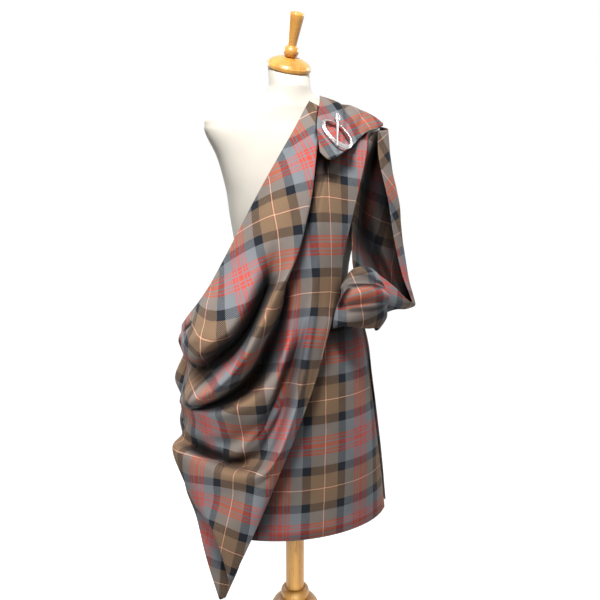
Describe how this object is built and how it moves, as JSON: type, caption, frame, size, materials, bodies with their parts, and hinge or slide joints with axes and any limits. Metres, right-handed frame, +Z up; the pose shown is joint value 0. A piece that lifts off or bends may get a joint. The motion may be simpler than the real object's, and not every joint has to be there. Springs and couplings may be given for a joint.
{
  "type": "tartan kilt and pinned plaid on a limbless dress form",
  "caption": "Knee-length kilted skirt in a wool check with knife pleats, and a long plaid draped over one shoulder, pinned with an open ring brooch, worn by a limbless form on a tripod stand.",
  "frame": {"origin": "middle of the footprint's bounding box, on the floor under the stand's feet", "axes": "+Z up along the stand's pole, -Y towards the front of the garment, +X to the wearer's left, where the brooch is"},
  "size_m": [0.56, 0.5182, 1.6125],
  "materials": {
    "tartan": "matte twill wool with a woven check",
    "form_cover": "cream jersey stretched smooth",
    "beech": "satin varnish",
    "silver": "worn cast silver"
  },
  "bodies": {
    "root": {"brooch_pin": "silver", "brooch_ring": "silver", "form_finial": "beech", "form_neck_block": "beech", "form_torso": "form_cover", "kilt_skirt": "tartan", "kilt_waistband": "tartan", "plaid_back": "tartan", "plaid_front": "tartan", "plaid_shoulder": "tartan", "plaid_side_loop": "tartan", "plaid_tail": "tartan", "plaid_waist_wrap": "tartan", "stand_bead": "beech", "stand_hub": "beech", "stand_leg_back": "beech", "stand_leg_left": "beech", "stand_leg_right": "beech", "stand_pole": "beech"}
  },
  "joints": []
}
